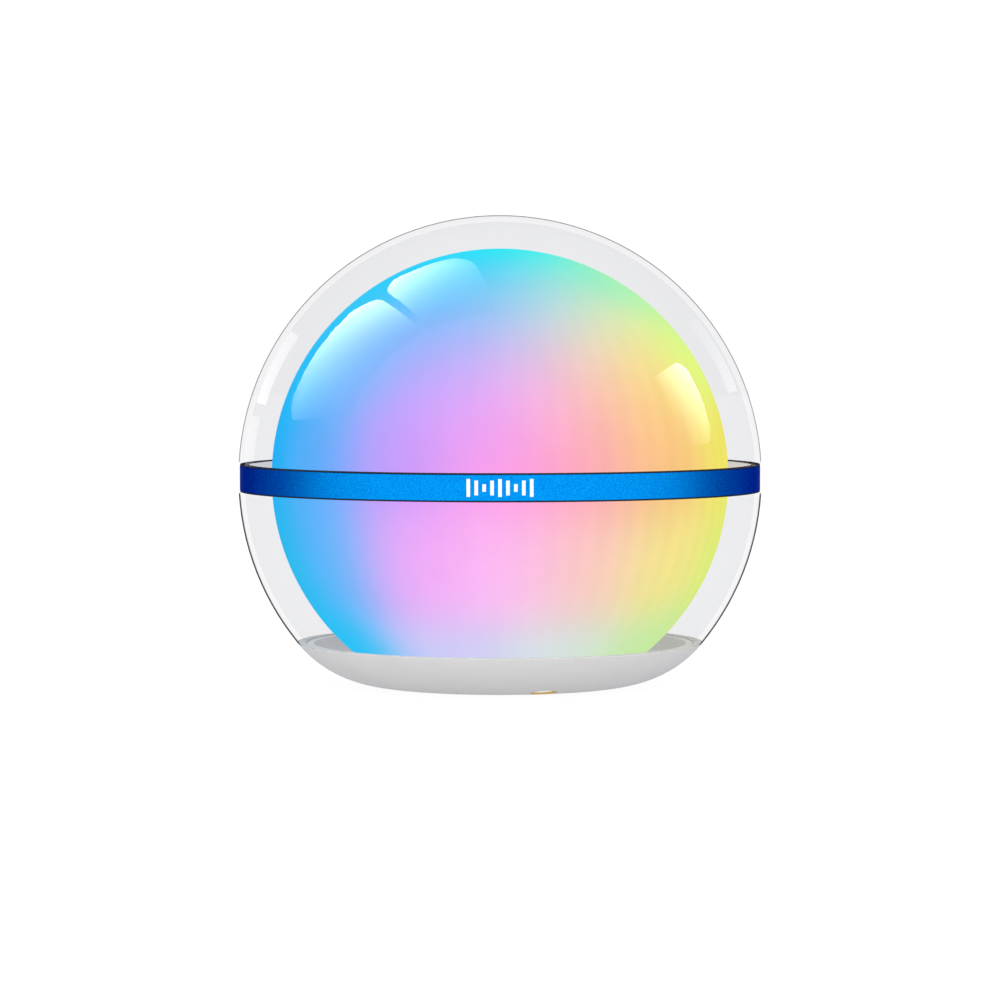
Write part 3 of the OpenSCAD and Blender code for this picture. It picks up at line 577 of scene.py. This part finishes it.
def stretch_along(node, axis):
    """A turned CAD node's axis point, its two ends along the axis, and its radius at each of them."""
    points = [vertex.co for vertex in NODES[node].data.vertices]
    low, high = min(p.dot(axis) for p in points), max(p.dot(axis) for p in points)
    flat = [p - axis * p.dot(axis) for p in points]
    middle = Vector([(min(p[i] for p in flat) + max(p[i] for p in flat)) / 2 for i in range(3)])
    ends = [max((p - axis * p.dot(axis) - middle).length for p in points
                if abs(p.dot(axis) - end) < 0.02 * MM) for end in (low, high)]
    return middle, low, high, ends


def make_button():
    """White push button, dished and rounded, in its gold ring."""
    press = next(joint for joint in frame["joints"] if joint["name"] == "button_press")
    axis = Vector(press["axis"]).normalized()
    middle, low, high, (cap_r, flange_r) = stretch_along("button_cap", axis)
    step = high - 0.5 * MM
    face = [(0, low + 0.1 * MM), (1.5 * MM, low + 0.08 * MM), (2.6 * MM, low + 0.02 * MM)]
    cap = face + arc(cap_r - 0.35 * MM, low + 0.35 * MM, 0.35 * MM, -90, 0, 6)
    cap += [(cap_r, step), (flange_r, step), (flange_r, high), (0, high)]
    # painted light: the button glows faintly to read pure white, though no lamp lights it
    white = moulded("button_white", (0.98, 0.98, 0.98), 0.3, 0.3 * MM, 0.004 * MM, 0.01,
                    Emission_Color=linear(1, 1, 1), Emission_Strength=0.25)
    turned("push_button", cap, 72, "button_cap", "button", white, axis, (middle,))
    middle, low, high, (ring_r, _) = stretch_along("button_bezel", axis)
    lip = 0.12 * MM
    ring = [(ring_r, high)] + arc(ring_r - lip, low + lip, lip, 0, -180, 8)
    ring += [(4.55 * MM, low + 0.5 * MM), (4.25 * MM, low + 0.75 * MM), (4 * MM, high)]
    turned("gold_ring", ring, 72, "button_bezel", "root", anodised_gold(), axis, (middle,))


# ---------------------------------------------------------------- camera and light

VIEW_TILT = 2.25        # how far the camera looks down on the globe's centre, in degrees


def make_camera():
    """Far off in front, looking slightly down, aimed just below the globe's centre."""
    away = 15.1 * GLOBE_R
    rise = away * math.sin(math.radians(VIEW_TILT))
    below_centre = math.radians(0.333)
    lens = bpy.data.cameras.new("camera")
    lens.lens = 142
    lens.clip_start = 0.05
    camera = bpy.data.objects.new("camera", lens)
    level = math.sqrt(away ** 2 - rise ** 2)
    camera.location = (0, -level, CENTRE_Z + rise)
    camera.rotation_euler = (math.pi / 2 - math.atan2(rise, level) - below_centre, 0, 0)
    bpy.context.scene.collection.objects.link(camera)
    bpy.context.scene.camera = camera


FRONT_FILL, BACK_FILL = 1.8, 0.5       # how bright the room is to matt surfaces, in front and behind
DARK_STRETCH = (0.015, 0.02, 0.24, 1)   # what reflections see low down behind the object
PANEL_AWAY = 5.0                        # how far off the reflected panels are, in metres
MIRRORED = 0.45                         # how bright the room and floor are in the clear wall's reflections


def make_world():
    """White room. Behind the object it is full white, it fills shadows softly, and reflections see
    it bright but for a dark stretch behind the object, low down, that shades the band's two ends."""
    world = bpy.data.worlds.new("studio")
    bpy.context.scene.world = world
    world.use_nodes = True
    tree = world.node_tree

    def node(kind, **inputs):
        made = tree.nodes.new(kind)
        for key, value in inputs.items():
            socket = made.inputs[key.replace("_", " ")]
            if isinstance(value, bpy.types.NodeSocket):
                tree.links.new(value, socket)
            else:
                socket.default_value = value
        return made

    def fade(value, low, high, at_low, at_high):
        made = node("ShaderNodeMapRange", Value=value, From_Min=low, From_Max=high, To_Min=at_low,
                    To_Max=at_high)
        made.interpolation_type = "SMOOTHSTEP"
        return made.outputs["Result"]

    def times(a, b):
        made = tree.nodes.new("ShaderNodeMath")
        made.operation = "MULTIPLY"
        tree.links.new(a, made.inputs[0])
        tree.links.new(b, made.inputs[1])
        return made.outputs[0]

    towards = node("ShaderNodeSeparateXYZ", Vector=node("ShaderNodeTexCoord").outputs["Generated"])
    y, z = towards.outputs["Y"], towards.outputs["Z"]
    behind = fade(y, -0.9, 0.6, 0.0, 1.0)
    low = fade(times(z, z), 0.1, 0.6, 1.0, 0.0)
    dark = times(behind, low)
    shadow_fill = fade(y, -1.0, 0.6, FRONT_FILL, BACK_FILL)
    path = node("ShaderNodeLightPath")
    glossy = path.outputs["Is Glossy Ray"]
    strength = node("ShaderNodeMix", Factor=glossy, A=shadow_fill, B=1.0).outputs["Result"]
    for kind, level in (("Is Singular Ray", MIRRORED), ("Is Camera Ray", 1.03)):
        strength = node("ShaderNodeMix", Factor=path.outputs[kind], A=strength, B=level).outputs["Result"]
    tree.links.new(strength, tree.nodes["Background"].inputs["Strength"])
    colour = tree.nodes.new("ShaderNodeMix")
    colour.data_type = "RGBA"
    tree.links.new(times(dark, glossy), colour.inputs["Factor"])
    colour.inputs["A"].default_value = (1, 1, 1, 1)
    colour.inputs["B"].default_value = DARK_STRETCH
    tree.links.new(colour.outputs["Result"], tree.nodes["Background"].inputs["Color"])


def make_floor():
    """Pale floor that meets the white room without a line. Matt surfaces see it dimmer than the camera
    does, so the object's underside stays shaded. From below it can be seen through."""
    side = 6.0
    mesh = bpy.data.meshes.new("floor")
    corners = [(-side, -side, 0), (side, -side, 0), (side, side, 0), (-side, side, 0)]
    mesh.from_pydata(corners, [], [(0, 1, 2, 3)])
    floor = bpy.data.objects.new("floor", mesh)
    bpy.context.scene.collection.objects.link(floor)
    s = Shader("floor")
    s.set(Base_Color=(0.16, 0.16, 0.163, 1), Roughness=0.8, Specular_IOR_Level=0.0)
    path = s.node("ShaderNodeLightPath")
    behind = s.remap(s.xyz()[1], -0.35, 0.3, 0.0, 1.0)
    dark = s.math("MULTIPLY", behind, path.outputs["Is Glossy Ray"])
    s.set(Emission_Color=s.mix(dark, (1, 1, 1, 1), DARK_STRETCH))
    level = s.remap(path.outputs["Is Diffuse Ray"], 0, 1, 0.9, 0.43)
    mirrored = s.remap(path.outputs["Is Singular Ray"], 0, 1, 1.0, MIRRORED)
    s.set(Emission_Strength=s.math("MULTIPLY", level, mirrored))
    under = s.node("ShaderNodeNewGeometry").outputs["Backfacing"]
    clear = s.node("ShaderNodeBsdfTransparent")
    both = s.node("ShaderNodeMixShader")
    s.feed(under, both.inputs[0])
    s.feed(s.body.outputs[0], both.inputs[1])
    s.feed(clear.outputs[0], both.inputs[2])
    s.feed(both.outputs[0], s.out.inputs["Surface"])
    mesh.materials.append(s.material)


def softbox(name, clock, off_axis, strength, lean=0.0, fade=1.5, ends=(1.0, 1.0), rounding=0.25):
    """A glowing panel that only shows in mirror reflections: a patch of a big ball round the object.
    clock is its start and end round the view axis, in degrees from +X, and off_axis its two angles from
    that axis. It glows most at the outer angle and fades inward, and by ends from one clock side to the
    other. rounding is the part of its depth over which the outer corners are rounded."""
    tilt = math.radians(VIEW_TILT)
    to_eye = Vector((0, -math.cos(tilt), math.sin(tilt)))
    right = Vector((1, 0, 0))
    up = right.cross(to_eye) * -1
    steps = 24
    middle, half = (clock[0] + clock[1]) / 2, (clock[1] - clock[0]) / 2
    points, levels = [], []
    for j in range(steps + 1):
        out = j / steps
        corner = max(0, (out - 1 + rounding) / rounding)
        width = half * (1 - 0.35 * corner ** 3)
        phi = math.radians(off_axis[0] + (off_axis[1] - off_axis[0]) * out)
        for i in range(steps + 1):
            side = 2 * i / steps - 1
            psi = math.radians(middle + width * side - lean * (1 - out))
            way = to_eye * math.cos(phi) + (right * math.cos(psi) + up * math.sin(psi)) * math.sin(phi)
            points.append(CENTRE + PANEL_AWAY * way)
            levels.append(out ** fade * (ends[0] + (ends[1] - ends[0]) * i / steps))
    row = steps + 1
    faces = [(a, a + 1, a + row + 1, a + row) for j in range(steps)
             for a in range(j * row, j * row + steps)]
    mesh = bpy.data.meshes.new(name)
    mesh.from_pydata(points, [], faces)
    glow = mesh.color_attributes.new("glow", "FLOAT_COLOR", "POINT")
    for i, level in enumerate(levels):
        glow.data[i].color = (level, level, level, 1)
    panel = bpy.data.objects.new(name, mesh)
    bpy.context.scene.collection.objects.link(panel)
    s = Shader(name)
    lamp = s.node("ShaderNodeEmission")
    s.feed(s.node("ShaderNodeVertexColor", layer_name="glow").outputs["Color"], lamp.inputs["Color"])
    mirrored = s.node("ShaderNodeLightPath").outputs["Is Singular Ray"]
    s.feed(s.math("MULTIPLY", mirrored, strength), lamp.inputs["Strength"])
    s.feed(lamp.outputs[0], s.out.inputs["Surface"])
    mesh.materials.append(s.material)
    panel.visible_camera = False
    panel.visible_diffuse = False
    panel.visible_transmission = False
    panel.visible_shadow = False


def make_lights():
    softbox("left_high", (98, 122.5), (74, 113.5), 32, lean=7, fade=2.2, ends=(0.2, 1.0))
    softbox("left_low", (125, 166), (74, 112), 32, lean=7, fade=1.8, ends=(1.0, 0.1))
    softbox("right", (9, 33), (84, 107.5), 24, fade=1.3, ends=(0.1, 1.0))
    softbox("left_rim", (145, 163), (134, 149), 5.2, fade=0.1, rounding=0.05, ends=(0.6, 1.0))
    softbox("left_rim_low", (166, 179), (136, 150), 2.4, fade=0.1, rounding=0.05)
    softbox("right_rim", (20, 39), (132, 145), 2.8, fade=0.1, rounding=0.05, ends=(1.0, 0.3))


make_camera()
dress_all()
make_globe()
make_feet()
make_button()
make_world()
make_floor()
make_lights()

bpy.context.scene.view_settings.view_transform = "Standard"
